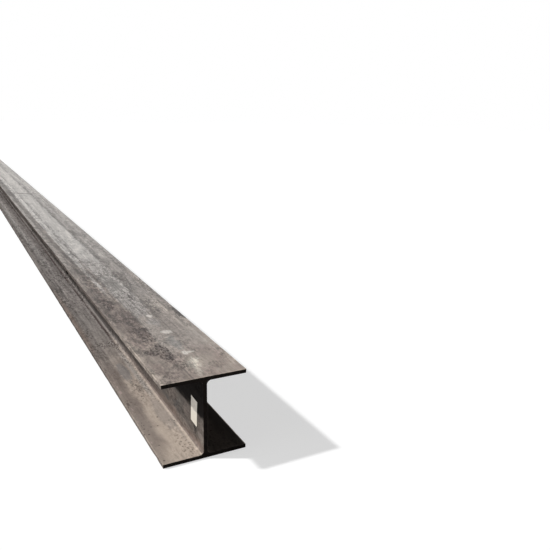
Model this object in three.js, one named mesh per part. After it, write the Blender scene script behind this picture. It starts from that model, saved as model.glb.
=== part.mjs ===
// Hot-rolled steel H-beam: one stock length of a 305 x 305 x 110 bearing-pile section,
// whose web and flanges are equally thick.
//
// The beam stands on its bottom flange with its web upright. X runs along the beam,
// Y across the flanges and Z up; the origin is the middle of the underside.
// All sizes are in millimetres.

import * as THREE from 'three';

// ---- Driving dimensions ----

// The rolled section
const beamLength = 12000;
const sectionDepth = 307.9;
const flangeWidth = 310.7;
const webThickness = 15.3;
const flangeThickness = 15.4;
const rootRadius = 15.2;
const toeRadius = 1.6;

// The identification label, stuck on one side of the web
const labelWidth = 59;
const labelHeight = 100;
const labelThickness = 0.3;
const labelCornerRadius = 1.5;
const labelFromEnd = 59;
const labelBelowWebMiddle = 12.5;
// In degrees, its top leaning towards the near end
const labelTilt = 3.2;

// How finely a quarter-turn arc is divided
const stepsPerQuarterTurn = 8;

// ---- Materials ----

const weatheredSteel = new THREE.MeshStandardMaterial({
  name: 'weathered_steel',
  color: 0x7d746b,
  roughness: 0.62,
  metalness: 0.45,
});

const paper = new THREE.MeshStandardMaterial({
  name: 'paper',
  color: 0xe9e6df,
  roughness: 0.85,
  metalness: 0,
});

// ---- Outlines and extrusion ----

// A closed outline with a rounded corner at each [x, y, radius], listed anticlockwise.
// Its sides run along x or y. Each arc starts where the side that comes in leaves off,
// and the path joins one arc to the next with a straight side.
function roundedOutline(corners) {
  const outline = new THREE.Shape();
  corners.forEach(([x, y, radius], index) => {
    const [beforeX, beforeY] = corners.at(index - 1);
    const [afterX, afterY] = corners.at((index + 1) % corners.length);
    const inX = Math.sign(x - beforeX);
    const inY = Math.sign(y - beforeY);
    const outX = Math.sign(afterX - x);
    const outY = Math.sign(afterY - y);
    const centreX = x + (outX - inX) * radius;
    const centreY = y + (outY - inY) * radius;
    const startAngle = Math.atan2(-outY, -outX);
    const endAngle = Math.atan2(inY, inX);
    const isInnerCorner = inX * outY - inY * outX < 0;
    outline.absarc(centreX, centreY, radius, startAngle, endAngle, isInnerCorner);
  });
  return outline;
}

// An outline pushed straight through a depth. three.js divides each arc of a shape
// into twice curveSegments.
function extruded(outline, depth) {
  return new THREE.ExtrudeGeometry(outline, {
    depth,
    steps: 1,
    curveSegments: stepsPerQuarterTurn / 2,
    bevelEnabled: false,
  });
}

// ---- The beam ----

// The H, drawn across in x and up in y, with y = 0 on the underside. The toes of the
// flanges are slightly rounded, and a fillet joins each flange to the web.
function sectionOutline() {
  const flangeEdge = flangeWidth / 2;
  const webFace = webThickness / 2;
  const upperFlangeUnderside = sectionDepth - flangeThickness;
  const rightSide = [
    [flangeEdge, 0, toeRadius],
    [flangeEdge, flangeThickness, toeRadius],
    [webFace, flangeThickness, rootRadius],
    [webFace, upperFlangeUnderside, rootRadius],
    [flangeEdge, upperFlangeUnderside, toeRadius],
    [flangeEdge, sectionDepth, toeRadius],
  ];
  const leftSide = rightSide.map(([x, y, radius]) => [-x, y, radius]).reverse();
  return roundedOutline([...rightSide, ...leftSide]);
}

function makeBeam() {
  const beam = new THREE.Mesh(extruded(sectionOutline(), beamLength), weatheredSteel);
  beam.name = 'h_beam';
  // Turned so that the outline's x runs along Y, its y up Z and its depth along X
  beam.rotation.set(Math.PI / 2, Math.PI / 2, 0);
  beam.position.x = -beamLength / 2;
  return beam;
}

// ---- The label ----

// It lies flat on the -Y face of the web, near the +X end, and a little askew.
function makeLabel() {
  const right = labelWidth / 2;
  const top = labelHeight / 2;
  const outline = roundedOutline([
    [right, -top, labelCornerRadius],
    [right, top, labelCornerRadius],
    [-right, top, labelCornerRadius],
    [-right, -top, labelCornerRadius],
  ]);
  const label = new THREE.Mesh(extruded(outline, labelThickness), paper);
  label.name = 'paper_label';
  // Turned so that its outline stands upright, its back meets the web and its top leans
  label.rotation.set(Math.PI / 2, 0, -THREE.MathUtils.degToRad(labelTilt));
  label.position.x = beamLength / 2 - labelFromEnd - labelWidth / 2;
  label.position.y = -webThickness / 2;
  label.position.z = sectionDepth / 2 - labelBelowWebMiddle;
  return label;
}

const part = new THREE.Group();
part.name = 'steel_h_beam';
part.add(makeBeam(), makeLabel());

export default part;
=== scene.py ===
"""Looks for the steel H-beam: a rolled skin with worn edges, its weathered finish, and
the blank paper label. Metres throughout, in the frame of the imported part."""

import math

import bpy
import numpy as np
from mathutils import Matrix, Vector, noise


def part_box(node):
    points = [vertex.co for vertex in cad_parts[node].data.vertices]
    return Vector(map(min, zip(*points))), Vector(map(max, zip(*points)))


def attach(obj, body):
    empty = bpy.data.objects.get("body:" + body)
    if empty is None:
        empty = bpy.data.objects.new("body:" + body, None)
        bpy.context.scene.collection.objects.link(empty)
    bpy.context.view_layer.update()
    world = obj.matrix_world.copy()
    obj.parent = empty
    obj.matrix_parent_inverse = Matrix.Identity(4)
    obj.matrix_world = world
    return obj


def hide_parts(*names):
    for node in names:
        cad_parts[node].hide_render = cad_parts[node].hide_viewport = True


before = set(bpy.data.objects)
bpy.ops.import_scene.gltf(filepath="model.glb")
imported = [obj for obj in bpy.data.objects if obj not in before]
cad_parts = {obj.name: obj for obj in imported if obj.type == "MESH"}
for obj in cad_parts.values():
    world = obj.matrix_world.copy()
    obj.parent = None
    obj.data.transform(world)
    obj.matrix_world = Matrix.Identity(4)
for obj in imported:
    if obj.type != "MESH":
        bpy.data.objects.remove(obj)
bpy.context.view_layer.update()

# ---- Sizes, from the frame and the rolled section ----

beam_low, beam_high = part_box("h_beam")
label_low, label_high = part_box("paper_label")
LENGTH = beam_high[0] - beam_low[0]
WIDTH = beam_high[1] - beam_low[1]
DEPTH = beam_high[2] - beam_low[2]
END_X = beam_high[0]
HALF_WIDTH = WIDTH / 2

WEB = 0.0153
HALF_WEB = WEB / 2
FLANGE = 0.0154
ROOT_RADIUS = 0.0152
TOE_RADIUS = 0.0016


# ---- Small helpers ----

def linear(hex_code):
    """A colour written as sRGB hex, as the linear RGBA that the nodes take."""
    channels = [int(hex_code[i:i + 2], 16) / 255 for i in (0, 2, 4)]
    return tuple(
        c / 12.92 if c <= 0.04045 else ((c + 0.055) / 1.055) ** 2.4 for c in channels
    ) + (1.0,)


def grey(level):
    return (level, level, level, 1.0)


def lump(x, y, z):
    """Smooth noise from 0 to 1, with lumps about one unit across."""
    return 0.5 + 0.5 * noise.noise(Vector((x, y, z)))


def put(name, data):
    """A new object in the scene that holds the mesh, lamp or camera."""
    thing = bpy.data.objects.new(name, data)
    bpy.context.collection.objects.link(thing)
    return thing


# Sockets of a Mix node that works on colours
MIX_FACTOR, MIX_UNDER, MIX_OVER, MIX_RESULT = 0, 6, 7, 2
SEEN_RAYS = ("Is Camera Ray", "Is Glossy Ray", "Is Transmission Ray")
# The values that a noise mostly has, and the flat share of a ridge's half width
NOISE_LOW, NOISE_HIGH = 0.3, 0.7
RIDGE_CREST = 0.2


class Nodes:
    """A node tree. The methods add nodes to it and give back their output sockets."""

    def __init__(self, tree):
        self.tree = tree

    def node(self, kind, inputs=None, **settings):
        node = self.tree.nodes.new(kind)
        for name, value in settings.items():
            setattr(node, name, value)
        for key, value in (inputs or {}).items():
            self.feed(node.inputs[key], value)
        return node

    def feed(self, socket, value):
        if isinstance(value, bpy.types.NodeSocket):
            self.tree.links.new(value, socket)
        else:
            socket.default_value = value

    def math(self, operation, a, b=0.0):
        return self.node("ShaderNodeMath", {0: a, 1: b}, operation=operation).outputs[0]

    def chain(self, operation, values):
        total = values[0]
        for value in values[1:]:
            total = self.math(operation, total, value)
        return total

    def add(self, *terms):
        return self.chain("ADD", terms)

    def times(self, *factors):
        return self.chain("MULTIPLY", factors)

    def most(self, *values):
        return self.chain("MAXIMUM", values)

    def invert(self, value):
        return self.math("SUBTRACT", 1.0, value)

    def ramp(self, value, low, high, start=0.0, end=1.0):
        """Smoothly from start at low to end at high, clamped outside."""
        inputs = {0: value, 1: low, 2: high, 3: start, 4: end}
        return self.node("ShaderNodeMapRange", inputs, interpolation_type="SMOOTHSTEP").outputs[0]

    def seen_ray(self):
        """1 for rays from the camera and for those that a gloss or a clear body sends on."""
        rays = self.node("ShaderNodeLightPath").outputs
        return self.most(*[rays[kind] for kind in SEEN_RAYS])


class Shader(Nodes):
    """The node tree of one new material, with what the finishes of the beam need."""

    def __init__(self, name):
        self.material = bpy.data.materials.new(name)
        self.material.use_nodes = True
        super().__init__(self.material.node_tree)
        self.bsdf = self.tree.nodes["Principled BSDF"]
        self.place = self.node("ShaderNodeTexCoord").outputs["Object"]
        self.x, self.y, self.z = self.node("ShaderNodeSeparateXYZ", {0: self.place}).outputs
        normal = self.node("ShaderNodeNewGeometry").outputs["Normal"]
        self.facing_up = self.node("ShaderNodeSeparateXYZ", {0: normal}).outputs["Z"]

    def stretched(self, x, y, z, shift=0.0):
        """The place with its axes scaled, so that noise on it runs long where they are small."""
        inputs = {0: self.place, 1: (x, y, z), 2: (shift, shift, shift)}
        return self.node("ShaderNodeVectorMath", inputs, operation="MULTIPLY_ADD").outputs[0]

    def noise(self, place, scale, detail, roughness=0.55):
        inputs = {"Vector": place, "Scale": scale, "Detail": detail, "Roughness": roughness}
        return self.node("ShaderNodeTexNoise", inputs).outputs[0]

    def spread(self, value, low, high):
        """A noise made to run from low to high."""
        return self.ramp(value, NOISE_LOW, NOISE_HIGH, low, high)

    def spots(self, scale, dimensions="3D"):
        """Distance from the nearest of many scattered points."""
        inputs = {"Vector": self.place, "Scale": scale, "Randomness": 1.0}
        voronoi = self.node("ShaderNodeTexVoronoi", inputs, voronoi_dimensions=dimensions)
        return voronoi.outputs["Distance"]

    def ridge(self, value, middle, half_width):
        """1 about the middle, falling smoothly to 0 half a width either side."""
        away = self.math("ABSOLUTE", self.math("SUBTRACT", value, middle))
        return self.ramp(away, RIDGE_CREST * half_width, half_width, 1.0, 0.0)

    def coat(self, under, over, *shares):
        """One colour laid over another, as thickly as the product of the shares."""
        node = self.node("ShaderNodeMix", data_type="RGBA")
        self.feed(node.inputs[MIX_FACTOR], self.times(*shares))
        self.feed(node.inputs[MIX_UNDER], under)
        self.feed(node.inputs[MIX_OVER], over)
        return node.outputs[MIX_RESULT]

    def surface(self, colour, roughness, specular, height, relief, strength):
        """The finished material. The relief is how deep the height from 0 to 1 is, in metres."""
        self.feed(self.bsdf.inputs["Base Color"], colour)
        self.feed(self.bsdf.inputs["Roughness"], roughness)
        self.bsdf.inputs["Specular IOR Level"].default_value = specular
        inputs = {"Strength": strength, "Distance": relief, "Height": height}
        bump = self.node("ShaderNodeBump", inputs).outputs[0]
        self.feed(self.bsdf.inputs["Normal"], bump)
        return self.material


# ---- The beam's skin ----

ARC_STEPS = 6
ACROSS_STEP = 0.014
# Distances of the first stations from an end, and the steps between those that follow
FIRST_STATIONS = (0.0, 0.0012, 0.003)
END_STEP = 0.008
STEP_GROWTH = 1.035
FAR_STEP = 0.05

# How deep the wear goes, and how far in from toes and ends it reaches
SWELL_DEPTH = 0.00035
NICK_DEPTH = 0.0022
NICK_THRESHOLD = 0.1
NICK_REACH = 0.004
END_DEPTH = 0.0007
END_REACH = 0.0012

TOP_SLOT, SIDE_SLOT, SAWN_SLOT = range(3)
# Faces whose middle is this close to the top are its upper side
TOP_TOLERANCE = 0.001
SKIN_CREASE = math.radians(32)


def section_corners():
    """Corners of the H seen from +X, anticlockwise, each with its rounding."""
    upper = DEPTH - FLANGE
    right = [
        (HALF_WIDTH, 0.0, TOE_RADIUS),
        (HALF_WIDTH, FLANGE, TOE_RADIUS),
        (HALF_WEB, FLANGE, ROOT_RADIUS),
        (HALF_WEB, upper, ROOT_RADIUS),
        (HALF_WIDTH, upper, TOE_RADIUS),
        (HALF_WIDTH, DEPTH, TOE_RADIUS),
    ]
    left = [(-y, z, radius) for y, z, radius in reversed(right)]
    return right + left


def section_points():
    """Points and outward normals round the H, close together on arcs and sides alike."""
    corners = section_corners()
    points, normals = [], []
    for i, (y, z, radius) in enumerate(corners):
        # The directions into and out of the corner, and whether it points outwards
        before, after = corners[i - 1], corners[(i + 1) % len(corners)]
        come = np.sign([y - before[0], z - before[1]])
        leave = np.sign([after[0] - y, after[1] - z])
        centre = np.array([y, z]) + (leave - come) * radius
        outer = come[0] * leave[1] - come[1] * leave[0] > 0
        for k in range(ARC_STEPS + 1):
            turn = k / ARC_STEPS * math.pi / 2
            spoke = -leave * math.cos(turn) + come * math.sin(turn)
            points.append(centre + spoke * radius)
            normals.append(spoke if outer else -spoke)
        side_start = points[-1]
        side_end = np.array(after[:2]) - leave * after[2]
        pieces = max(1, round(np.linalg.norm(side_end - side_start) / ACROSS_STEP))
        for k in range(1, pieces):
            points.append(side_start + (side_end - side_start) * k / pieces)
            normals.append(normals[-1])
    return np.array(points), np.array(normals)


def stations():
    """Places along the beam, close together at both ends and further apart between."""
    half = list(FIRST_STATIONS)
    step = END_STEP
    while half[-1] < LENGTH / 2:
        half.append(half[-1] + step)
        step = min(step * STEP_GROWTH, FAR_STEP)
    half = np.array(half) * (LENGTH / 2) / half[-1]
    return np.concatenate([END_X - half, (half - END_X)[-2::-1]])


def wear_depth(x, y, z):
    """How far the skin lies inside the nominal section."""
    swell = lump(x * 3.1, y * 9, z * 9)
    toe = max(0.0, 1 - (HALF_WIDTH - abs(y)) / NICK_REACH)
    nick = max(0.0, noise.noise(Vector((x * 19, y * 5 + 7, z * 40))) - NICK_THRESHOLD)
    end = max(0.0, 1 - (END_X - abs(x)) / END_REACH)
    return SWELL_DEPTH * swell + NICK_DEPTH * toe * nick + END_DEPTH * end


def make_skin():
    points, normals = section_points()
    places = stations()
    count = len(points)
    vertices = []
    for x in places:
        for (y, z), (normal_y, normal_z) in zip(points, normals):
            depth = wear_depth(x, y, z)
            vertices.append((x, y - normal_y * depth, z - normal_z * depth))
    faces = []
    for i in range(len(places) - 1):
        here, beyond = i * count, (i + 1) * count
        for k in range(count):
            after = (k + 1) % count
            faces.append((here + k, here + after, beyond + after, beyond + k))
    last = (len(places) - 1) * count
    faces.append(tuple(range(count)))
    faces.append(tuple(last + k for k in reversed(range(count))))

    mesh = bpy.data.meshes.new("beam_skin")
    mesh.from_pydata(vertices, [], faces)
    for material in (top_material(), side_material(), sawn_material()):
        mesh.materials.append(material)
    for polygon in mesh.polygons:
        is_end = len(polygon.vertices) > 4
        is_top = polygon.center.z > DEPTH - TOP_TOLERANCE
        polygon.use_smooth = not is_end
        polygon.material_index = SAWN_SLOT if is_end else TOP_SLOT if is_top else SIDE_SLOT
    mesh.validate()
    skin = put("beam_skin", mesh)
    mesh.set_sharp_from_angle(angle=SKIN_CREASE)
    return skin


# ---- The steel's finish ----

# Rust and dust on mill scale: the top flange
TAN_SCALE = linear("9b9188")
PINK_SCALE = linear("93867f")
BROWN_SCALE = linear("6a605b")
GREY_SCALE = linear("a49f9b")
GREY_TAN = linear("97908a")
GREY_SHADE = linear("908b87")
GREY_PATCH = linear("888480")
# Pale dust and, below, chalk: both are also used as painted sheen far along the top flange
PALE_DUST_AND_SHEEN = linear("b7b3af")
EDGE_DUST = linear("b8aea5")
CHALK_AND_SHEEN = linear("dad4cd")
CREAM = linear("cfc8bc")
# Pale worn steel, also used as painted highlight on rims and along the root fillet
WEAR_AND_HIGHLIGHT = linear("b3a699")
STAIN = linear("443a38")
SEAM = linear("504b48")
PIT = linear("3a3430")
# The bottom flange
LOW_SCALE = linear("8c837c")
LOW_BROWN = linear("776c66")
LOW_GREY = linear("807b78")
LOW_SHADE = linear("4f4a47")
TAN_DUST = linear("b6a89b")
PINK_DUST = linear("b09c98")
LANE_DUST = linear("a49d96")
RUST_BROWN = linear("75675f")
DULL_EDGE = linear("716c68")
# The web and the upright edges
WEB_SCALE = linear("5a544f")
WEB_BROWN = linear("645c57")
WEB_PINK = linear("8f7a6f")
EDGE_SCALE = linear("998f86")
BLUE_SCALE = linear("4c4b4a")
# Near-black scale, also used as painted shade on the upper web, the far side and the undersides
BLACK_SCALE_AND_SHADE = linear("33302f")
NOTCH = linear("0e0c0b")
# The sawn ends, painted dark as the shade that falls on them
SAWN_DARK = linear("25201e")
SAWN_BROWN = linear("312b28")
SAWN_LINE = linear("4c4641")

# Each patch: its distance from the +X end, its place across the beam, half its length,
# half its width, and its strength. On the web its place is its height, and at the foot of
# the web its distance from the middle.
# Stains on the left of the top flange, which stop at the middle band
LEFT_STAINS = [
    (0.262, -0.048, 0.090, 0.022, 1.0),
    (0.281, -0.084, 0.036, 0.034, 0.95),
    (0.215, -0.064, 0.044, 0.024, 0.90),
    (0.478, -0.063, 0.074, 0.050, 0.86),
    (0.530, -0.096, 0.060, 0.022, 0.80),
    (0.715, -0.078, 0.126, 0.044, 0.47),
    (0.920, -0.106, 0.125, 0.024, 0.95),
    (1.200, -0.104, 0.280, 0.022, 0.42),
]
# Stains elsewhere on it
TOP_STAINS = [
    (0.138, -0.046, 0.046, 0.026, 0.48),
    (0.085, 0.078, 0.030, 0.022, 0.35),
    (0.740, 0.070, 0.120, 0.026, 0.22),
    (1.350, 0.072, 0.120, 0.022, 0.45),
    (1.430, -0.040, 0.035, 0.026, 0.55),
    (1.010, 0.018, 0.065, 0.006, 0.95),
    (0.418, 0.050, 0.024, 0.009, 0.50),
    (0.520, 0.056, 0.230, 0.042, 0.23),
    (0.055, -0.092, 0.045, 0.017, 0.24),
    (0.430, -0.034, 0.070, 0.020, 0.22),
    (1.540, -0.054, 0.360, 0.015, 0.24),
    (0.060, -0.140, 0.060, 0.014, 0.16),
    (0.222, 0.086, 0.026, 0.034, 0.20),
]
# A dark patch on its right edge
EDGE_DARK_PATCHES = [(0.705, 0.158, 0.118, 0.025, 0.95)]
# Dark grey patches of the middle band, and lighter ones
DARK_GREYS = [
    (0.342, 0.011, 0.092, 0.024, 1.0),
    (1.280, -0.008, 0.190, 0.048, 0.90),
]
TOP_GREYS = [
    (0.605, 0.012, 0.055, 0.028, 0.85),
    (0.850, 0.000, 0.160, 0.050, 1.0),
]
# Drier strips by the right edge
TOP_DUSTS = [
    (0.720, 0.106, 0.190, 0.016, 0.55),
    (0.275, 0.136, 0.085, 0.016, 0.50),
    (1.300, 0.134, 0.230, 0.016, 0.55),
]
# Chalky dabs along the middle, and a longer cream smear by the end
TOP_DABS = [
    (0.682, 0.018, 0.019, 0.011, 0.68),
    (0.466, 0.018, 0.021, 0.022, 0.62),
    (0.230, 0.012, 0.022, 0.013, 0.72),
    (0.230, 0.029, 0.009, 0.017, 0.68),
]
TOP_SMEARS = [
    (0.138, 0.017, 0.036, 0.025, 1.0),
    (0.108, 0.012, 0.040, 0.023, 0.90),
    (0.070, 0.004, 0.030, 0.015, 0.55),
    (0.030, -0.008, 0.026, 0.012, 0.25),
]
# Marks on the upper side of the bottom flange, and greyer patches there
LOW_STAINS = [
    (1.160, -0.060, 0.035, 0.050, 0.80),
    (1.320, -0.124, 0.055, 0.022, 0.60),
    (0.590, -0.066, 0.050, 0.018, 0.30),
]
LOW_GREYS = [
    (0.345, -0.040, 0.150, 0.028, 0.42),
    (0.800, -0.074, 0.120, 0.024, 0.80),
]
# Where spots crowd at the foot of the web
FOOT_PITS = [(0.090, 0.046, 0.088, 0.026, 1.0)]
# The web's lighter patches, its dark spot and the notch in its foot
WEB_LIGHTS = [
    (0.036, 0.071, 0.024, 0.015, 0.42),
    (0.200, 0.045, 0.075, 0.014, 0.32),
]
WEB_SPOTS = [(0.079, 0.074, 0.015, 0.016, 0.62)]
WEB_NOTCHES = [(2.560, 0.049, 0.045, 0.013, 1.0)]

# Lengthwise seams in the scale of the top flange: place across, half width, strength, and
# the distance from the +X end where each starts to show, over the run given
TOP_SEAMS = [
    (0.056, 0.015, 0.85, 0.95),
    (0.046, 0.006, 0.35, 0.0),
    (-0.043, 0.006, 0.45, 0.0),
    (0.068, 0.020, 0.60, 2.4),
    (0.055, 0.013, 0.45, 2.3),
    (-0.055, 0.010, 0.65, 0.90),
]
SEAM_START_RUN = 0.25
# The line scorched over the top flange: its distance, its slant, and half its width
SCORCH_DISTANCE = 4.883
SCORCH_SLANT = 0.96
SCORCH_HALF_WIDTH = 0.050

# A patch is full within the first share of its half sizes and gone past the second
BLOT_CORE, BLOT_RIM = 0.75, 1.10
DARKEST_TONE = 0.45
PIT_STRENGTH = 0.7
STEEL_RELIEF = 0.0010
SAW_RELIEF = 0.0004


class Steel(Shader):
    """The noises and masks that the rolled faces share."""

    def __init__(self, name):
        super().__init__(name)
        self.from_end = self.math("SUBTRACT", END_X, self.x)
        self.side = self.math("ABSOLUTE", self.y)
        self.cloud = self.noise(self.stretched(1.0, 1.6, 1.6, 3.0), 9.0, 6.0, 0.6)
        self.patch = self.noise(self.stretched(0.8, 1.4, 1.4, 6.0), 27.0, 5.0, 0.6)
        self.mottle = self.noise(self.stretched(0.55, 1.0, 1.0, 9.0), 60.0, 5.0, 0.65)
        self.speck = self.noise(self.stretched(0.5, 1.0, 1.0, 3.0), 135.0, 3.0, 0.6)
        wobble = self.add(
            self.spread(self.cloud, -0.12, 0.12),
            self.spread(self.patch, -0.08, 0.08),
        )
        self.ragged_distance = self.add(self.from_end, wobble)

    def along(self, low, high, start=0.0, end=1.0):
        """A ramp by the distance from the +X end."""
        return self.ramp(self.from_end, low, high, start, end)

    def near_edge(self, outer, inner):
        """0 until the outer distance from the flange's edge, and 1 from the inner one on."""
        return self.ramp(self.side, HALF_WIDTH - outer, HALF_WIDTH - inner)

    def blot(self, distance, across, half_length, half_width, strength, ragged, axis):
        """A patch with a rim that noise has broken."""
        along = self.math("DIVIDE", self.math("SUBTRACT", self.from_end, distance), half_length)
        aside = self.math("DIVIDE", self.math("SUBTRACT", axis, across), half_width)
        reach = self.math("SQRT", self.add(self.times(along, along), self.times(aside, aside)))
        ragged_reach = self.add(
            reach,
            self.spread(self.patch, -ragged, ragged),
            self.spread(self.mottle, -0.8 * ragged, 0.8 * ragged),
            self.spread(self.speck, -0.5 * ragged, 0.5 * ragged),
        )
        return self.ramp(ragged_reach, BLOT_CORE, BLOT_RIM, strength, 0.0)

    def blots(self, places, ragged=0.35, axis=None):
        """All the patches of a list, placed across the beam or along the axis given."""
        return self.most(*[self.blot(*place, ragged, axis or self.y) for place in places])

    def dashes(self, shift):
        """Dashes of 1 with gaps of 0.2 between them, to break up a lengthwise line."""
        breaks = self.noise(self.stretched(4.5, 9.0, 1.0, shift), 1.0, 5.0, 0.65)
        return self.ramp(breaks, 0.42, 0.56, 0.2, 1.0)

    def soft_dashes(self, shift, gap, dash):
        """The same with dashes of the height given, and gaps a little above the gap given."""
        return self.ramp(self.dashes(shift), 0.0, 1.0, gap, dash)

    def finish(self, colour, roughness, specular, pits, contrast):
        """Streaks, mottling, dust grain and pits over the colour, with their relief."""
        grain = self.noise(self.place, 420.0, 2.0, 0.6)
        streak = self.noise(self.stretched(0.7, 36.0, 36.0), 1.0, 5.0, 0.6)
        short_streak = self.noise(self.stretched(5.0, 70.0, 70.0, 5.0), 1.0, 4.0, 0.6)
        hair = self.noise(self.stretched(7.0, 280.0, 280.0, 8.0), 1.0, 2.0, 0.5)
        spotty_zone = self.noise(self.stretched(1.2, 3.0, 3.0, 14.0), 3.6, 4.0)
        streaks = self.add(
            self.spread(streak, -0.15, 0.15),
            self.spread(short_streak, -0.14, 0.14),
            self.spread(hair, -0.08, 0.08),
        )
        spotty = self.add(
            self.spread(self.patch, -0.16, 0.12),
            self.spread(self.mottle, -0.24, 0.18),
            self.spread(self.speck, -0.22, 0.16),
        )
        marks = self.add(
            self.times(streaks, self.along(0.2, 1.2, 0.55, 1.0)),
            self.spread(grain, -0.06, 0.06),
            self.times(spotty, self.ramp(spotty_zone, 0.38, 0.62, 0.35, 1.35)),
        )
        tone = self.most(self.add(self.times(marks, contrast), 1.0), DARKEST_TONE)
        scaled = self.node("ShaderNodeVectorMath", {0: colour, 3: tone}, operation="SCALE")
        toned = self.coat(scaled.outputs[0], PIT, pits, PIT_STRENGTH)
        uneven = self.add(
            roughness,
            self.spread(self.patch, -0.06, 0.06),
            self.spread(self.mottle, -0.06, 0.06),
        )
        height = self.add(
            self.times(self.mottle, 0.5),
            self.times(self.speck, 0.3),
            self.times(grain, 0.15),
            self.times(hair, 0.15),
            self.times(pits, -0.6),
        )
        return self.surface(
            toned, uneven, specular, height=height, relief=STEEL_RELIEF, strength=0.8
        )


def top_material():
    """The upper side of the top flange: a pale middle band between darker outer thirds."""
    s = Steel("top_steel")
    sway = s.noise(s.stretched(7.0, 14.0, 14.0, 4.0), 1.0, 5.0, 0.65)
    across = s.add(s.y, s.ramp(sway, 0.25, 0.75, -0.006, 0.006))
    far = s.ramp(s.ragged_distance, 1.45, 2.05)
    middle = s.ramp(s.math("ABSOLUTE", across), 0.038, 0.056, 1.0, 0.0)
    left = s.ramp(across, -0.042, -0.058)
    not_left = s.invert(left)

    # Tan by the end, browner on the left, and grey further along
    colour = s.coat(TAN_SCALE, PINK_SCALE, s.ramp(s.cloud, 0.40, 0.64))
    colour = s.coat(colour, GREY_TAN, s.along(0.10, 0.40), not_left, 0.80)
    colour = s.coat(colour, GREY_SHADE, s.along(0.70, 1.20), not_left, 0.70)
    browned = s.times(left, s.along(0.30, 0.65, 0.45, 1.0), s.ramp(s.cloud, 0.35, 0.65, 0.65, 1.0))
    colour = s.coat(colour, BROWN_SCALE, browned, s.along(0.80, 1.80, 1.0, 0.5))
    outer_side = s.ramp(across, -0.110, -0.130)
    colour = s.coat(colour, GREY_TAN, outer_side, s.along(1.0, 1.4), s.along(3.2, 2.2), 0.5)
    greyed = s.most(s.blots(TOP_GREYS, 0.25), s.along(0.85, 1.0))
    colour = s.coat(colour, GREY_SCALE, middle, greyed, s.ramp(s.patch, 0.35, 0.65, 0.7, 1.0))
    colour = s.coat(colour, GREY_PATCH, s.blots(DARK_GREYS, 0.20))
    colour = s.coat(colour, EDGE_DUST, s.blots(TOP_DUSTS, 0.30))

    # Paler further along, most in the middle: partly weathered dust and partly a painted sheen
    # that stands for the glancing reflection far down the beam
    pale_zone = s.times(s.ramp(across, -0.098, -0.088), s.ramp(across, 0.070, 0.054))
    bleach_and_sheen = s.add(
        s.times(pale_zone, 0.64),
        s.times(pale_zone, s.ridge(s.from_end, 2.80, 0.6), s.ramp(across, 0.02, -0.02), 0.26),
        s.times(s.ramp(across, -0.118, -0.132), s.ridge(s.from_end, 3.3, 1.3), 0.16),
        s.along(2.0, 6.5, 0.26, 0.90),
    )
    colour = s.coat(colour, PALE_DUST_AND_SHEEN, far, bleach_and_sheen)
    left_line = s.times(
        s.ridge(across, -0.075, 0.019), s.along(0.9, 1.3), s.along(3.0, 4.5, 1.0, 0.75)
    )
    right_line = s.times(s.ridge(across, 0.032, 0.018), s.along(1.45, 1.75), 0.7)
    pale_lines = s.most(left_line, right_line)
    colour = s.coat(colour, PALE_DUST_AND_SHEEN, pale_lines, s.soft_dashes(20.0, 0.45, 1.0))
    # Paler still far along: painted sheen
    colour = s.coat(colour, CHALK_AND_SHEEN, pale_zone, s.along(4.2, 6.2, 0.0, 0.22))
    flecks = s.ramp(s.noise(s.stretched(9.0, 40.0, 1.0, 12.0), 1.0, 5.0, 0.7), 0.53, 0.60)
    fleck_zone = s.times(middle, s.along(0.6, 1.1), s.along(2.0, 3.5, 1.0, 0.4))
    colour = s.coat(colour, CHALK_AND_SHEEN, flecks, fleck_zone, 0.40)

    # Dashed seams run lengthwise, and those on the right fade further along
    right_fade = s.times(
        s.along(2.5, 5.0, 1.0, 0.5), s.invert(s.times(s.ridge(s.from_end, 2.12, 0.36), 0.5))
    )
    for i, (place, half_width, strength, start) in enumerate(TOP_SEAMS):
        seam = s.times(s.ridge(across, place, half_width), s.dashes(2.0 * i), strength)
        if start:
            seam = s.times(seam, s.along(start, start + SEAM_START_RUN))
        if place > 0:
            seam = s.times(seam, right_fade)
        colour = s.coat(colour, SEAM, seam)

    # The left edge of the pale zone is a dark shelf, wider further along
    shelf_inside = s.add(across, s.along(1.7, 2.5, 0.0, 0.009))
    shelf_outside = s.add(across, s.along(1.8, 3.2, 0.0, 0.022))
    shelf = s.times(
        s.ramp(shelf_inside, -0.082, -0.095),
        s.ramp(shelf_outside, -0.106, -0.124, 1.0, s.along(3.0, 5.4, 0.30, 0.82)),
        s.along(1.20, 1.65),
        s.soft_dashes(24.0, 0.7, 1.0),
        s.add(s.along(2.0, 2.6, 0.97, 0.63), s.along(3.6, 5.2, 0.0, 0.27)),
    )
    colour = s.coat(colour, SEAM, shelf)

    # The scorched line crosses at a slant
    slant = s.add(s.from_end, s.times(s.y, SCORCH_SLANT))
    scorch = s.times(
        s.ridge(slant, SCORCH_DISTANCE, SCORCH_HALF_WIDTH),
        s.ramp(s.y, -0.140, -0.120),
        s.ramp(s.y, 0.080, 0.050),
        0.75,
    )
    colour = s.coat(colour, SEAM, scorch)

    # Scale that has cracked and lifted, seen as fine dark lines
    broad = s.noise(s.stretched(0.38, 2.0, 1.0, 15.0), 14.0, 6.0, 0.7)
    fine = s.noise(s.stretched(0.45, 1.6, 1.0, 17.0), 36.0, 4.0, 0.65)
    cracks = s.most(s.ridge(broad, 0.5, 0.030), s.times(s.ridge(fine, 0.5, 0.050), 0.6))
    crack_zone = s.times(s.along(0.45, 0.80), s.ramp(s.cloud, 0.38, 0.54, 0.25, 1.0))
    colour = s.coat(colour, SEAM, cracks, crack_zone, s.ramp(far, 0.0, 1.0, 0.90, 0.25))

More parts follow.
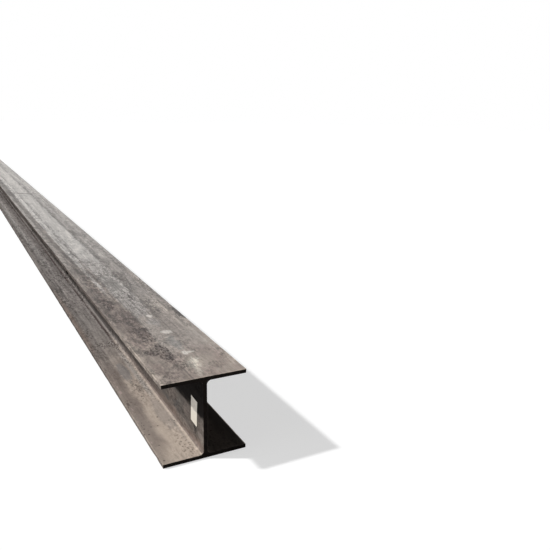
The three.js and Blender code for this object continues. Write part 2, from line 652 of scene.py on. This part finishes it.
    # Stains, broken by specks, and the chalk and cream on them
    band_side = s.add(across, s.times(s.from_end, 0.023))
    left_stains = s.times(s.blots(LEFT_STAINS, 0.28), s.ramp(band_side, -0.027, -0.033))
    stains = s.most(left_stains, s.blots(TOP_STAINS))
    colour = s.coat(colour, STAIN, stains, s.ramp(s.speck, 0.44, 0.56, 1.0, 0.40))
    smears = s.blots(TOP_SMEARS, 0.45)
    colour = s.coat(colour, CREAM, smears, s.ramp(s.mottle, 0.38, 0.55, 0.45, 0.90))
    colour = s.coat(colour, CHALK_AND_SHEEN, s.blots(TOP_DABS, 0.30))

    # Dust and wear along the edges by the end, a dark patch on the right edge, and a pale rim,
    # partly wear and partly a painted highlight
    margin = s.times(s.near_edge(0.026, 0.010), s.along(0.95, 0.60))
    colour = s.coat(colour, TAN_SCALE, margin, s.ramp(s.patch, 0.35, 0.6, 0.15, 0.55))
    colour = s.coat(colour, SEAM, s.blots(EDGE_DARK_PATCHES, 0.22))
    worn_side = s.times(s.near_edge(0.006, 0.002), s.along(0.55, 0.30))
    rim = s.most(s.along(0.007, 0.002), worn_side)
    colour = s.coat(colour, WEAR_AND_HIGHLIGHT, rim, s.ramp(s.patch, 0.3, 0.6, 0.35, 0.8))

    pits = s.times(
        s.ramp(s.spots(95.0), 0.12, 0.28, 1.0, 0.0),
        s.ramp(s.noise(s.stretched(1.0, 1.0, 1.0, 11.0), 10.0, 3.0), 0.54, 0.64),
        s.ramp(far, 0.0, 1.0, 1.0, 0.25),
    )
    contrast = s.add(1.3, s.times(left, s.along(0.4, 0.7, 0.0, 0.5)), s.times(far, middle, -0.50))
    return s.finish(colour, roughness=0.56, specular=0.18, pits=pits, contrast=contrast)


def low_colour(s):
    """The upper side of the bottom flange, tan with dust by the end."""
    low = s.coat(LOW_SCALE, LOW_BROWN, s.ramp(s.cloud, 0.38, 0.62, 0.15, 0.85))
    lane_side = s.add(s.side, s.spread(s.cloud, -0.012, 0.012))
    inner = s.ramp(lane_side, 0.122, 0.080, 0.25, 1.0)
    dusty = s.ramp(s.add(s.from_end, s.spread(s.cloud, -0.10, 0.10)), 1.45, 0.10)
    end_dust = s.times(s.along(0.25, 0.02), s.ramp(s.side, 0.100, 0.152, 1.0, 0.45))
    low = s.coat(low, TAN_DUST, dusty, s.most(inner, end_dust))
    lane = s.times(s.ramp(lane_side, 0.080, 0.110), s.ramp(lane_side, 0.150, 0.128))
    low = s.coat(low, LOW_BROWN, lane, s.along(0.10, 0.40), s.ramp(s.patch, 0.3, 0.6, 0.2, 0.5))
    low = s.coat(low, LOW_GREY, s.along(0.60, 2.4, 0.0, 0.85))
    low = s.coat(low, GREY_PATCH, s.ridge(s.from_end, 1.4, 0.75), 0.40)
    low = s.coat(low, LOW_GREY, s.blots(LOW_GREYS, 0.12))
    grey_lane = s.ridge(s.side, 0.031, 0.018)
    low = s.coat(low, LANE_DUST, grey_lane, s.along(0.44, 0.60), s.along(1.12, 0.95), 0.85)
    lit_lane = s.ridge(s.add(s.side, s.along(3.4, 4.8, 0.0, -0.022)), 0.086, 0.030)
    low = s.coat(low, PALE_DUST_AND_SHEEN, lit_lane, s.along(2.4, 3.6), 0.32)
    low = s.coat(low, LOW_SHADE, s.ramp(s.side, 0.068, 0.050), s.along(1.5, 3.2), 0.42)
    gutter = s.times(s.ridge(s.side, 0.0240, 0.0095), s.along(1.13, 1.19, 0.08, 1.0))
    low = s.coat(low, STAIN, gutter, s.soft_dashes(30.0, 0.4, 0.85))

    # Scale chipped off in specks by the gutter and in three patches
    chip_zone = s.times(
        s.ramp(s.side, 0.021, 0.024),
        s.ramp(s.side, 0.050, 0.032),
        s.along(0.42, 0.60),
        s.along(2.40, 1.70),
        s.ramp(s.patch, 0.42, 0.54),
    )
    chip_strength = s.along(0.95, 1.15, 0.50, 0.85)
    low = s.coat(low, STAIN, chip_zone, s.ramp(s.speck, 0.42, 0.50, chip_strength, 0.0))
    chipped = s.blots(LOW_STAINS, 0.5)
    low = s.coat(low, STAIN, chipped, s.ramp(s.speck, 0.40, 0.56, 1.0, 0.0))
    low = s.coat(low, PALE_DUST_AND_SHEEN, chipped, s.ramp(s.speck, 0.56, 0.66), 0.7)

    # The outer edge, chipped dark and dusted pink, and rusty further along
    edge_chips = s.noise(s.stretched(14.0, 60.0, 1.0, 33.0), 1.0, 4.0, 0.6)
    chip_edge = s.times(s.ridge(s.side, 0.143, 0.013), s.along(0.05, 0.15))
    low = s.coat(low, STAIN, s.ramp(edge_chips, 0.60, 0.66), chip_edge, 0.6)
    pink_edge = s.times(s.ramp(edge_chips, 0.42, 0.36), chip_edge, s.along(0.8, 1.3, 0.6, 0.2))
    low = s.coat(low, PINK_DUST, pink_edge)
    rust = s.coat(RUST_BROWN, DULL_EDGE, s.along(1.7, 2.5))
    low = s.coat(low, rust, s.ramp(s.side, 0.118, 0.146), s.along(0.95, 1.25), 0.70)

    # A grey line where the fillet ends, short of the +X end
    fillet_foot = s.ridge(s.side, 0.0260, 0.0060)
    return s.coat(low, LOW_GREY, fillet_foot, s.ridge(s.from_end, 0.20, 0.14), 0.42)


def web_colour(s, edge):
    """The web and other upright faces, with blue scale showing through in smears."""
    near_end = s.ramp(s.ragged_distance, 0.95, 0.20)
    web = s.coat(WEB_SCALE, WEB_BROWN, s.ramp(s.cloud, 0.38, 0.62))
    web = s.coat(web, WEB_PINK, s.ramp(s.z, 0.070, 0.030), near_end, 0.35)
    smears = s.ramp(s.noise(s.stretched(7.0, 7.0, 14.0, 7.0), 1.0, 6.0, 0.65), 0.42, 0.56)
    smear_zone = s.times(s.along(0.20, 0.29), s.along(0.50, 0.36), s.ramp(s.z, 0.040, 0.065))
    web = s.coat(web, BLUE_SCALE, smears, s.most(smear_zone, 0.35), 0.8)
    worn_end = s.times(s.along(0.035, 0.010), s.ramp(s.z, 0.035, 0.055))
    web = s.coat(web, TAN_SCALE, worn_end, s.ramp(s.patch, 0.4, 0.6, 0.1, 0.5))

    # Painted shade: the web is darker where the flange's shadow falls on its upper part, and
    # darker further along, less so on the far side
    painted_upper_shade = s.times(
        s.ramp(s.add(s.z, s.spread(s.patch, -0.010, 0.010)), 0.134, 0.162),
        s.along(0.6, 1.4, 1.0, 0.55),
    )
    further = s.add(
        s.along(0.35, 0.62, 0.0, 0.36),
        s.along(0.92, 1.22, 0.0, 0.36),
        s.along(1.55, 2.10, 0.0, -0.20),
    )
    near_side = s.ramp(s.y, 0.0, 0.006, 1.0, 0.30)
    web = s.coat(web, BLACK_SCALE_AND_SHADE, s.most(painted_upper_shade, further), near_side)

    # Its foot takes the colour of the flange, and patches and the notch go over all
    foot = s.times(s.ramp(s.z, 0.044, 0.026), s.along(0.60, 0.90))
    foot_strength = s.add(s.along(0.9, 1.5, 0.72, 0.26), s.along(2.2, 2.6, 0.0, -0.18))
    foot_colour = s.coat(LOW_BROWN, LOW_GREY, s.along(0.8, 1.5))
    web = s.coat(web, foot_colour, foot, foot_strength)
    web = s.coat(web, LOW_SCALE, s.blots(WEB_LIGHTS, 0.2, s.z))
    web = s.coat(web, BLACK_SCALE_AND_SHADE, s.blots(WEB_SPOTS, 0.2, s.z))
    web = s.coat(web, NOTCH, s.blots(WEB_NOTCHES, 0.1, s.z))

    # The toes' own sides, tan by the end
    toes = s.coat(EDGE_SCALE, WEB_BROWN, s.along(0.35, 0.95))
    toes = s.coat(toes, WEB_SCALE, s.ramp(s.z, 0.10, 0.05), s.along(0.0, 1.5, 0.58, 1.0))
    return s.coat(web, toes, edge, s.spread(s.patch, 0.75, 1.0))


def side_material():
    """Every other rolled face: the bottom flange, the web, the edges and undersides."""
    s = Steel("side_steel")
    up = s.ramp(s.facing_up, 0.35, 0.80)
    down = s.ramp(s.facing_up, -0.35, -0.80)
    edge = s.near_edge(0.006, 0.003)
    colour = s.coat(web_colour(s, edge), low_colour(s), up)

    # The root fillet: dark further along, brown at its foot, and pale in between, partly wear and
    # partly a painted highlight along the fillet
    fillet = s.times(
        s.ramp(s.side, HALF_WEB + 0.003, HALF_WEB + 0.007),
        s.ramp(s.side, HALF_WEB + ROOT_RADIUS + 0.003, HALF_WEB + ROOT_RADIUS - 0.005),
        s.ramp(s.facing_up, 0.15, 0.5),
    )
    colour = s.coat(colour, LOW_SHADE, fillet, s.along(1.05, 1.6, 0.0, 0.50))
    fillet_start = s.times(
        s.ramp(s.side, HALF_WEB + 0.0003, HALF_WEB + 0.0025),
        s.ramp(s.side, HALF_WEB + 0.0075, HALF_WEB + 0.0040),
    )
    colour = s.coat(colour, LOW_BROWN, fillet_start, s.along(1.0, 0.7, 0.0, 0.90))
    fillet_wear_and_highlight = s.times(fillet, s.along(0.45, 0.90, 0.10, 1.0), s.along(1.45, 1.10))
    colour = s.coat(colour, WEAR_AND_HIGHLIGHT, fillet_wear_and_highlight, s.ramp(s.patch, 0.38, 0.58, 0.10, 0.42))
    wear_and_highlight_line = s.times(
        s.ridge(s.side, 0.0170, 0.0055),
        up,
        s.along(0.55, 0.30, 0.35, 1.0),
        s.along(0.85, 0.65),
    )
    colour = s.coat(colour, WEAR_AND_HIGHLIGHT, wear_and_highlight_line, s.ramp(s.patch, 0.38, 0.58, 0.25, 0.60))

    # Pale rims on the upper edges by the end: wear, partly a painted highlight
    worn_side = s.times(s.near_edge(0.004, 0.001), s.along(0.6, 0.3))
    rim = s.times(up, s.most(s.along(0.006, 0.002), worn_side))
    colour = s.coat(colour, WEAR_AND_HIGHLIGHT, rim, s.ramp(s.patch, 0.3, 0.6, 0.3, 0.8))

    # Painted shade: near-black over the far (+Y) half, most on its bottom flange by the +X end,
    # and over the undersides
    shaded = s.ramp(up, 0.0, 1.0, 0.12, s.along(0.5, 1.3, 0.84, 0.30))
    painted_shade = s.times(s.ramp(s.y, 0.0, 0.02), s.invert(edge), shaded)
    colour = s.coat(colour, BLACK_SCALE_AND_SHADE, s.most(s.times(down, 0.65), painted_shade))

    # Soft dark pits, densest where the dust lies
    scattered_pits = s.times(
        s.ramp(s.spots(48.0), 0.10, 0.26, 1.0, 0.0),
        s.ramp(s.noise(s.stretched(1.0, 1.0, 1.0, 11.0), 9.0, 3.0), 0.46, 0.58),
        s.ramp(up, 0.0, 1.0, 0.4, 1.0),
    )
    foot_spots = s.ramp(s.spots(60.0, "2D"), 0.10, 0.27, 0.8, 0.0)
    foot_pits = s.times(foot_spots, s.blots(FOOT_PITS, 0.1, s.side), up)
    pits = s.most(scattered_pits, foot_pits)
    smooth_dust = s.times(up, s.ridge(s.from_end, 0.22, 0.20), 0.35)
    contrast = s.math("SUBTRACT", s.along(0.5, 2.5, 0.75, 1.6), smooth_dust)
    return s.finish(colour, roughness=0.72, specular=0.0, pits=pits, contrast=contrast)


def sawn_material():
    """The cut ends: steel painted dark as the shade that falls on them, with the fine lines of a
    band saw.
    """
    s = Shader("sawn_steel")
    lines = s.noise(s.stretched(1.0, 12.0, 900.0), 1.0, 3.0, 0.6)
    colour = s.coat(SAWN_DARK, SAWN_BROWN, s.ramp(s.noise(s.place, 60.0, 5.0), 0.35, 0.65))
    colour = s.coat(colour, SAWN_LINE, s.ramp(lines, 0.45, 0.7, 0.0, 0.30))
    return s.surface(
        colour, roughness=0.75, specular=0.03, height=lines, relief=SAW_RELIEF, strength=0.6
    )


# ---- The label ----

LABEL_WIDTH = 0.059
LABEL_HEIGHT = 0.100
LABEL_TILT = math.radians(3.2)
LABEL_COLUMNS = 36
LABEL_ROWS = 60
LABEL_CREASE = math.radians(50)
PAPER = 0.0002
# How far the sheet buckles off the web, and its rim curls up over the outer share of it
BUCKLE = 0.00025
CURL = 0.0004
CURL_SHARE = 0.2
# The lower corner nearest the end is folded up along a line this far in from it
DOG_EAR = 0.007
DOG_EAR_TURN = math.radians(38)

# The upper part is lighter, to make up for the shade of the flange on it
PAPER_UPPER = linear("f8f1e4")
PAPER_LOWER = linear("d4cdbe")
PAPER_GRIME = linear("b9b1a4")
PAPER_FOLD = linear("b3ada4")
PAPER_FIBRE = linear("a39c90")
PAPER_RELIEF = 0.0003


def label_point(u, v):
    """A point of the sheet, u across and v up from its middle, and how far it stands off."""
    lift = BUCKLE * lump(u * 45, v * 30, 2.0)
    out = max(abs(u) / (LABEL_WIDTH / 2), abs(v) / (LABEL_HEIGHT / 2))
    curled = max(0.0, out - (1 - CURL_SHARE)) / CURL_SHARE
    lift += CURL * curled * lump(u * 60, v * 60, 5.0)
    past_corner = (u - LABEL_WIDTH / 2) - (v + LABEL_HEIGHT / 2)
    past_fold = (past_corner + DOG_EAR) / math.sqrt(2)
    if past_fold > 0:
        drawn_in = past_fold * (1 - math.cos(DOG_EAR_TURN)) / math.sqrt(2)
        u, v = u - drawn_in, v + drawn_in
        lift += past_fold * math.sin(DOG_EAR_TURN)
    return u, v, lift


def make_label():
    middle_x = (label_low[0] + label_high[0]) / 2
    middle_z = (label_low[2] + label_high[2]) / 2
    back, front = [], []
    for row in range(LABEL_ROWS + 1):
        for column in range(LABEL_COLUMNS + 1):
            u, v, lift = label_point(
                (column / LABEL_COLUMNS - 0.5) * LABEL_WIDTH,
                (row / LABEL_ROWS - 0.5) * LABEL_HEIGHT,
            )
            x = middle_x + u * math.cos(LABEL_TILT) + v * math.sin(LABEL_TILT)
            z = middle_z - u * math.sin(LABEL_TILT) + v * math.cos(LABEL_TILT)
            back.append((x, -HALF_WEB - lift, z))
            front.append((x, -HALF_WEB - lift - PAPER, z))
    faces = []
    across, count = LABEL_COLUMNS + 1, len(back)
    for row in range(LABEL_ROWS):
        for column in range(LABEL_COLUMNS):
            a = row * across + column
            square = (a, a + 1, a + across + 1, a + across)
            faces.append(tuple(reversed(square)))
            faces.append(tuple(count + k for k in square))
    rim = list(range(across))
    rim += [row * across + LABEL_COLUMNS for row in range(1, LABEL_ROWS + 1)]
    rim += [LABEL_ROWS * across + column for column in reversed(range(LABEL_COLUMNS))]
    rim += [row * across for row in reversed(range(1, LABEL_ROWS))]
    for a, b in zip(rim, rim[1:] + rim[:1]):
        faces.append((a, b, count + b, count + a))

    mesh = bpy.data.meshes.new("label_sheet")
    mesh.from_pydata(back + front, [], faces)
    mesh.polygons.foreach_set("use_smooth", [True] * len(mesh.polygons))
    mesh.materials.append(paper_material())
    sheet = put("label_sheet", mesh)
    mesh.set_sharp_from_angle(angle=LABEL_CREASE)
    return sheet


def paper_material():
    """Off-white paper, blank, with soft creases and a little grime."""
    s = Shader("label_paper")
    cloud = s.noise(s.place, 55.0, 5.0, 0.6)
    fibre = s.noise(s.place, 700.0, 2.0, 0.5)
    creases = s.noise(s.stretched(160.0, 1.0, 9.0, 4.0), 1.0, 3.0, 0.5)
    colour = s.coat(PAPER_UPPER, PAPER_LOWER, s.ramp(s.z, 0.165, 0.135))
    colour = s.coat(colour, PAPER_GRIME, s.ramp(cloud, 0.45, 0.7, 0.0, 0.35))
    colour = s.coat(colour, PAPER_FOLD, s.ramp(creases, 0.55, 0.7, 0.0, 0.4))
    colour = s.coat(colour, PAPER_FIBRE, s.ramp(fibre, 0.5, 0.75, 0.0, 0.12))
    s.bsdf.inputs["Coat Weight"].default_value = 1.0
    s.bsdf.inputs["Coat Roughness"].default_value = 0.6
    s.bsdf.inputs["Coat IOR"].default_value = 1.75
    height = s.add(creases, s.times(fibre, 0.2))
    return s.surface(
        colour, roughness=0.38, specular=0.9, height=height, relief=PAPER_RELIEF, strength=0.6
    )


# ---- Camera, lights and floor ----

# Found from the beam's edges and corners in the photo
CAMERA_AHEAD = 1.7705
CAMERA_ASIDE = 0.7096
CAMERA_HEIGHT = 1.1816
CAMERA_TURN = math.radians(28.709)
CAMERA_DIP = math.radians(15.133)
CAMERA_ROLL = math.radians(1.304)
LENS = 39.89
SENSOR = 36.0
VIEW_END = 200

# Each sun: where it shines from, its strength, and its width in degrees
SUNS = {
    "key": ((-0.5, -1.0, 1.003), 3.72, 2.5),
    "fill": ((-0.2, -1.0, 0.35), 0.85, 60),
    "back": ((-0.25, 1.0, 0.14), 1.2, 30),
}
# The world's strength as a light, and as the white background that is seen
WORLD_LIGHT = 0.045
WORLD_SEEN = 1.0

FLOOR_HALF = 40.0
FLOOR_LEVEL = -0.0005
# The floor bounces as grey, and is seen as white with a share of its own light
FLOOR_BOUNCE = 0.3
FLOOR_WHITE = 0.9
FLOOR_GLOW = 1.2
GLOW_SHARE = 0.5


def make_camera():
    data = bpy.data.cameras.new("camera")
    data.lens = LENS
    data.sensor_width = SENSOR
    data.sensor_fit = "HORIZONTAL"
    data.clip_end = VIEW_END
    camera = put("camera", data)
    level = math.cos(CAMERA_DIP)
    look = Vector((
        -math.cos(CAMERA_TURN) * level,
        math.sin(CAMERA_TURN) * level,
        -math.sin(CAMERA_DIP),
    ))
    right = look.cross(Vector((0, 0, 1))).normalized()
    up = right.cross(look)
    rolled_right = right * math.cos(CAMERA_ROLL) + up * math.sin(CAMERA_ROLL)
    rolled_up = up * math.cos(CAMERA_ROLL) - right * math.sin(CAMERA_ROLL)
    turn = Matrix((rolled_right, rolled_up, -look)).transposed()
    place = Vector((END_X + CAMERA_AHEAD, -CAMERA_ASIDE, CAMERA_HEIGHT))
    camera.matrix_world = Matrix.Translation(place) @ turn.to_4x4()
    bpy.context.scene.camera = camera


def make_lights():
    for name, (shines_from, strength, width) in SUNS.items():
        sun = bpy.data.lights.new(name, "SUN")
        sun.energy = strength
        sun.angle = math.radians(width)
        direction = Vector(shines_from).normalized()
        put(name, sun).rotation_euler = direction.to_track_quat("Z", "Y").to_euler()

    world = bpy.data.worlds.new("studio")
    bpy.context.scene.world = world
    world.use_nodes = True
    nodes = Nodes(world.node_tree)
    background = nodes.tree.nodes["Background"]
    background.inputs["Color"].default_value = grey(1.0)
    strength = nodes.ramp(nodes.seen_ray(), 0.0, 1.0, WORLD_LIGHT, WORLD_SEEN)
    nodes.feed(background.inputs["Strength"], strength)


def floor_material():
    material = bpy.data.materials.new("floor")
    material.use_nodes = True
    nodes = Nodes(material.node_tree)
    nodes.tree.nodes.remove(nodes.tree.nodes["Principled BSDF"])
    bounce = nodes.node("ShaderNodeBsdfDiffuse", {"Color": grey(FLOOR_BOUNCE)}).outputs[0]
    white = nodes.node("ShaderNodeBsdfDiffuse", {"Color": grey(FLOOR_WHITE)}).outputs[0]
    glow = nodes.node("ShaderNodeEmission", {"Strength": FLOOR_GLOW}).outputs[0]
    seen = nodes.node("ShaderNodeMixShader", {0: GLOW_SHARE, 1: white, 2: glow}).outputs[0]
    chosen = nodes.node("ShaderNodeMixShader", {0: nodes.seen_ray(), 1: bounce, 2: seen})
    nodes.feed(nodes.tree.nodes["Material Output"].inputs["Surface"], chosen.outputs[0])
    return material


def make_floor():
    mesh = bpy.data.meshes.new("floor")
    corners = [(x * FLOOR_HALF, y * FLOOR_HALF, FLOOR_LEVEL)
               for x, y in ((-1, -1), (1, -1), (1, 1), (-1, 1))]
    mesh.from_pydata(corners, [], [(0, 1, 2, 3)])
    mesh.materials.append(floor_material())
    floor = put("floor", mesh)


# ---- Putting it together ----

bpy.context.scene.view_settings.view_transform = "Standard"
make_camera()
make_lights()
make_floor()

skin = make_skin()
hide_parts("h_beam")
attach(skin, "root")

sheet = make_label()
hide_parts("paper_label")
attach(sheet, "root")
